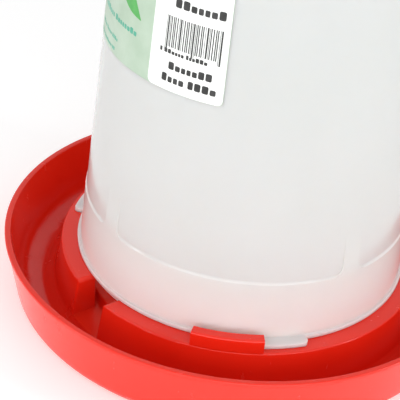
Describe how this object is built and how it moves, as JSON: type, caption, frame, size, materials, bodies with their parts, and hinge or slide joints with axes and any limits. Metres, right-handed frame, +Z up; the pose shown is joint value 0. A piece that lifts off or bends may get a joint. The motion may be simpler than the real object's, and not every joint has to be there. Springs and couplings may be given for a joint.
{
  "type": "poultry waterer fount",
  "caption": "Round drinking tray with a central bayonet ring, a translucent inverted water tank twist-locked into it, and a swinging carrying handle.",
  "frame": {"origin": "on the fount's axis, in the plane that the tray stands on", "axes": "+Z up along the axis of tray and tank, -Y to the front, where the first bayonet hood is, +X to the right"},
  "size_m": [0.29, 0.29, 0.287],
  "materials": {
    "red_plastic": "glossy moulded polypropylene",
    "milky_plastic": "translucent natural polypropylene, satin",
    "label_stock": "printed self-adhesive film, no lettering"
  },
  "bodies": {
    "tray": {"tray": "red_plastic"},
    "tank": {"tank": "milky_plastic", "label": "label_stock"},
    "handle": {"handle": "red_plastic"}
  },
  "joints": [
    {"name": "bayonet_twist", "type": "hinge", "parent": "tray", "child": "tank", "pos_m": [0, 0, 0.0324], "axis": [0, 0, 1], "range_deg": [0, 21]},
    {"name": "handle_swing", "type": "hinge", "parent": "tank", "child": "handle", "pos_m": [0, 0, 0.279], "axis": [-1, 0, 0], "range_deg": [0, 192]}
  ]
}
